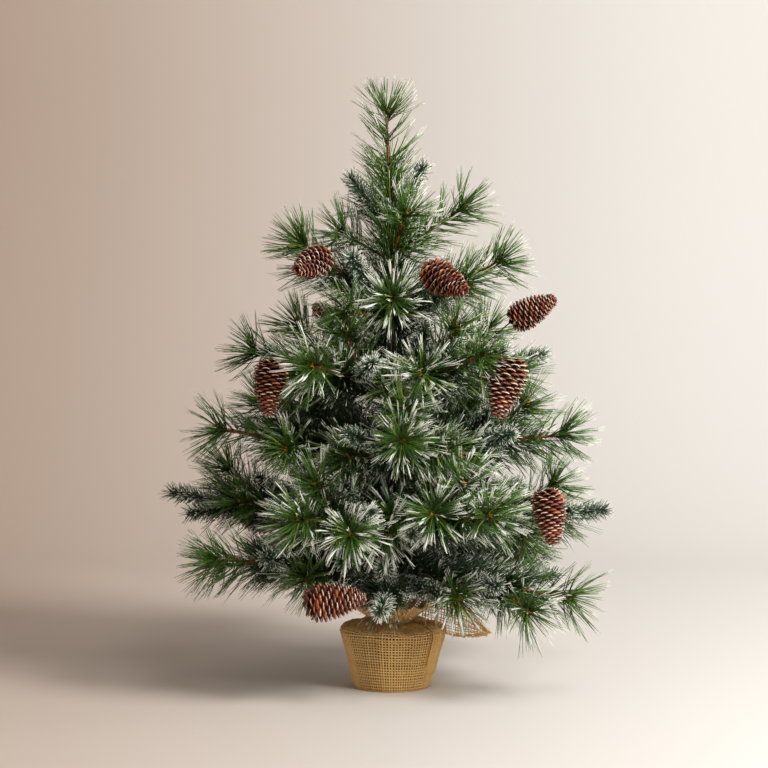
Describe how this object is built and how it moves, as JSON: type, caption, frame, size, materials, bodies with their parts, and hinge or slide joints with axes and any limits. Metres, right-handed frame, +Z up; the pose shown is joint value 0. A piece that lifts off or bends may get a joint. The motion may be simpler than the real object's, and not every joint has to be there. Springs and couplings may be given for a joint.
{
  "type": "artificial tabletop tree",
  "caption": "Small conical artificial tree with snow-tipped long and short needles, pinecones and small lights, on a weighted pot wrapped in gathered burlap.",
  "frame": {"origin": "middle of the flat face that the pot stands on", "axes": "+Z up along the trunk, -Y towards the front, +X to the right seen from the front"},
  "size_m": [0.4629, 0.4232, 0.61],
  "materials": {
    "cement": "matte",
    "pot_plastic": "matte",
    "steel": "satin",
    "stem_film": "matte",
    "needle_film": "matte",
    "pinecone": "matte",
    "burlap": "matte",
    "jute": "matte",
    "lead": "satin"
  },
  "bodies": {
    "trunk": {"cement_weight": "cement", "pot": "pot_plastic", "trunk_pole": "steel", "trunk_garland": "stem_film", "burlap_wrap": "burlap", "jute_tie": "jute"},
    "low_branch_1_body": {"low_branch_1": "needle_film", "light_run_1": "lead"},
    "low_branch_2_body": {"low_branch_2": "needle_film", "pinecone_7": "pinecone"},
    "low_branch_3_body": {"low_branch_3": "needle_film", "pinecone_6": "pinecone"},
    "low_branch_4_body": {"low_branch_4": "needle_film", "light_run_5": "lead"},
    "low_branch_5_body": {"low_branch_5": "needle_film", "pinecone_9": "pinecone", "light_run_4": "lead"},
    "broad_branch_1_body": {"broad_branch_1": "needle_film"},
    "broad_branch_2_body": {"broad_branch_2": "needle_film"},
    "broad_branch_3_body": {"broad_branch_3": "needle_film", "light_run_2": "lead"},
    "broad_branch_4_body": {"broad_branch_4": "needle_film", "light_run_7": "lead"},
    "broad_branch_5_body": {"broad_branch_5": "needle_film", "pinecone_8": "pinecone", "light_run_6": "lead"},
    "middle_branch_1_body": {"middle_branch_1": "needle_film"},
    "middle_branch_2_body": {"middle_branch_2": "needle_film"},
    "middle_branch_3_body": {"middle_branch_3": "needle_film"},
    "middle_branch_4_body": {"middle_branch_4": "needle_film"},
    "middle_branch_5_body": {"middle_branch_5": "needle_film", "pinecone_11": "pinecone", "light_run_8": "lead"},
    "shoulder_branch_1_body": {"shoulder_branch_1": "needle_film"},
    "shoulder_branch_2_body": {"shoulder_branch_2": "needle_film", "pinecone_3": "pinecone"},
    "shoulder_branch_3_body": {"shoulder_branch_3": "needle_film", "pinecone_4": "pinecone", "light_run_3": "lead"},
    "shoulder_branch_4_body": {"shoulder_branch_4": "needle_film", "pinecone_5": "pinecone"},
    "shoulder_branch_5_body": {"shoulder_branch_5": "needle_film", "pinecone_10": "pinecone", "light_run_9": "lead"},
    "top_branch_1_body": {"top_branch_1": "needle_film", "pinecone_1": "pinecone"},
    "top_branch_2_body": {"top_branch_2": "needle_film", "pinecone_2": "pinecone"},
    "top_branch_3_body": {"top_branch_3": "needle_film"},
    "top_branch_4_body": {"top_branch_4": "needle_film"},
    "leader_body": {"leader": "needle_film"}
  },
  "joints": [
    {"name": "low_branch_1_bend", "type": "hinge", "parent": "trunk", "child": "low_branch_1_body", "pos_m": [-0.01079, -0.00526, 0.118], "axis": [-0.4384, 0.8988, 0], "range_deg": [-15, 45], "deforming": ["low_branch_1"]},
    {"name": "low_branch_2_bend", "type": "hinge", "parent": "trunk", "child": "low_branch_2_body", "pos_m": [-0.00105, -0.01195, 0.112], "axis": [-0.9962, 0.0872, 0], "range_deg": [-15, 45], "deforming": ["low_branch_2"]},
    {"name": "low_branch_3_bend", "type": "hinge", "parent": "trunk", "child": "low_branch_3_body", "pos_m": [0.01079, -0.00526, 0.118], "axis": [-0.4384, -0.8988, 0], "range_deg": [-15, 45], "deforming": ["low_branch_3"]},
    {"name": "low_branch_4_bend", "type": "hinge", "parent": "trunk", "child": "low_branch_4_body", "pos_m": [0.00892, 0.00803, 0.118], "axis": [0.6691, -0.7431, 0], "range_deg": [-15, 45], "deforming": ["low_branch_4"]},
    {"name": "low_branch_5_bend", "type": "hinge", "parent": "trunk", "child": "low_branch_5_body", "pos_m": [-0.00636, 0.01018, 0.118], "axis": [0.848, 0.5299, 0], "range_deg": [-15, 45], "deforming": ["low_branch_5"]},
    {"name": "broad_branch_1_bend", "type": "hinge", "parent": "trunk", "child": "broad_branch_1_body", "pos_m": [-0.01188, 0.00167, 0.16], "axis": [0.1392, 0.9903, 0], "range_deg": [-20, 45], "deforming": ["broad_branch_1"]},
    {"name": "broad_branch_2_bend", "type": "hinge", "parent": "trunk", "child": "broad_branch_2_body", "pos_m": [-0.006, -0.01039, 0.168], "axis": [-0.866, 0.5, 0], "range_deg": [-20, 45], "deforming": ["broad_branch_2"]},
    {"name": "broad_branch_3_bend", "type": "hinge", "parent": "trunk", "child": "broad_branch_3_body", "pos_m": [0.00636, -0.01018, 0.167], "axis": [-0.848, -0.5299, 0], "range_deg": [-20, 45], "deforming": ["broad_branch_3"]},
    {"name": "broad_branch_4_bend", "type": "hinge", "parent": "trunk", "child": "broad_branch_4_body", "pos_m": [0.01188, 0.00167, 0.158], "axis": [0.1392, -0.9903, 0], "range_deg": [-20, 45], "deforming": ["broad_branch_4"]},
    {"name": "broad_branch_5_bend", "type": "hinge", "parent": "trunk", "child": "broad_branch_5_body", "pos_m": [0.00063, 0.01198, 0.162], "axis": [0.9986, -0.0523, 0], "range_deg": [-20, 45], "deforming": ["broad_branch_5"]},
    {"name": "middle_branch_1_bend", "type": "hinge", "parent": "trunk", "child": "middle_branch_1_body", "pos_m": [-0.01128, -0.0041, 0.236], "axis": [-0.342, 0.9397, 0], "range_deg": [-25, 45], "deforming": ["middle_branch_1"]},
    {"name": "middle_branch_2_bend", "type": "hinge", "parent": "trunk", "child": "middle_branch_2_body", "pos_m": [0.00063, -0.01198, 0.238], "axis": [-0.9986, -0.0523, 0], "range_deg": [-25, 45], "deforming": ["middle_branch_2"]},
    {"name": "middle_branch_3_bend", "type": "hinge", "parent": "trunk", "child": "middle_branch_3_body", "pos_m": [0.01113, -0.00449, 0.24], "axis": [-0.3746, -0.9272, 0], "range_deg": [-25, 45], "deforming": ["middle_branch_3"]},
    {"name": "middle_branch_4_bend", "type": "hinge", "parent": "trunk", "child": "middle_branch_4_body", "pos_m": [0.00771, 0.00919, 0.233], "axis": [0.766, -0.6428, 0], "range_deg": [-25, 45], "deforming": ["middle_branch_4"]},
    {"name": "middle_branch_5_bend", "type": "hinge", "parent": "trunk", "child": "middle_branch_5_body", "pos_m": [-0.00705, 0.00971, 0.236], "axis": [0.809, 0.5878, 0], "range_deg": [-25, 45], "deforming": ["middle_branch_5"]},
    {"name": "shoulder_branch_1_bend", "type": "hinge", "parent": "trunk", "child": "shoulder_branch_1_body", "pos_m": [-0.01182, 0.00208, 0.306], "axis": [0.1736, 0.9848, 0], "range_deg": [-25, 30], "deforming": ["shoulder_branch_1"]},
    {"name": "shoulder_branch_2_bend", "type": "hinge", "parent": "trunk", "child": "shoulder_branch_2_body", "pos_m": [-0.006, -0.01039, 0.304], "axis": [-0.866, 0.5, 0], "range_deg": [-25, 30], "deforming": ["shoulder_branch_2"]},
    {"name": "shoulder_branch_3_bend", "type": "hinge", "parent": "trunk", "child": "shoulder_branch_3_body", "pos_m": [0.00705, -0.00971, 0.308], "axis": [-0.809, -0.5878, 0], "range_deg": [-25, 30], "deforming": ["shoulder_branch_3"]},
    {"name": "shoulder_branch_4_bend", "type": "hinge", "parent": "trunk", "child": "shoulder_branch_4_body", "pos_m": [0.01135, 0.00391, 0.306], "axis": [0.3256, -0.9455, 0], "range_deg": [-25, 30], "deforming": ["shoulder_branch_4"]},
    {"name": "shoulder_branch_5_bend", "type": "hinge", "parent": "trunk", "child": "shoulder_branch_5_body", "pos_m": [-0.00105, 0.01195, 0.306], "axis": [0.9962, 0.0872, 0], "range_deg": [-25, 30], "deforming": ["shoulder_branch_5"]},
    {"name": "top_branch_1_bend", "type": "hinge", "parent": "trunk", "child": "top_branch_1_body", "pos_m": [-0.01154, -0.00331, 0.392], "axis": [-0.2756, 0.9613, 0], "range_deg": [-25, 30], "deforming": ["top_branch_1"]},
    {"name": "top_branch_2_bend", "type": "hinge", "parent": "trunk", "child": "top_branch_2_body", "pos_m": [0, -0.012, 0.37], "axis": [-1, 0, 0], "range_deg": [-25, 30], "deforming": ["top_branch_2"]},
    {"name": "top_branch_3_bend", "type": "hinge", "parent": "trunk", "child": "top_branch_3_body", "pos_m": [0.01188, -0.00167, 0.384], "axis": [-0.1392, -0.9903, 0], "range_deg": [-25, 30], "deforming": ["top_branch_3"]},
    {"name": "top_branch_4_bend", "type": "hinge", "parent": "trunk", "child": "top_branch_4_body", "pos_m": [0, 0.012, 0.384], "axis": [1, 0, 0], "range_deg": [-25, 30], "deforming": ["top_branch_4"]},
    {"name": "leader_bend", "type": "hinge", "parent": "trunk", "child": "leader_body", "pos_m": [0, 0, 0.428], "axis": [0, 1, 0], "range_deg": [-30, 30], "deforming": ["leader"]}
  ]
}
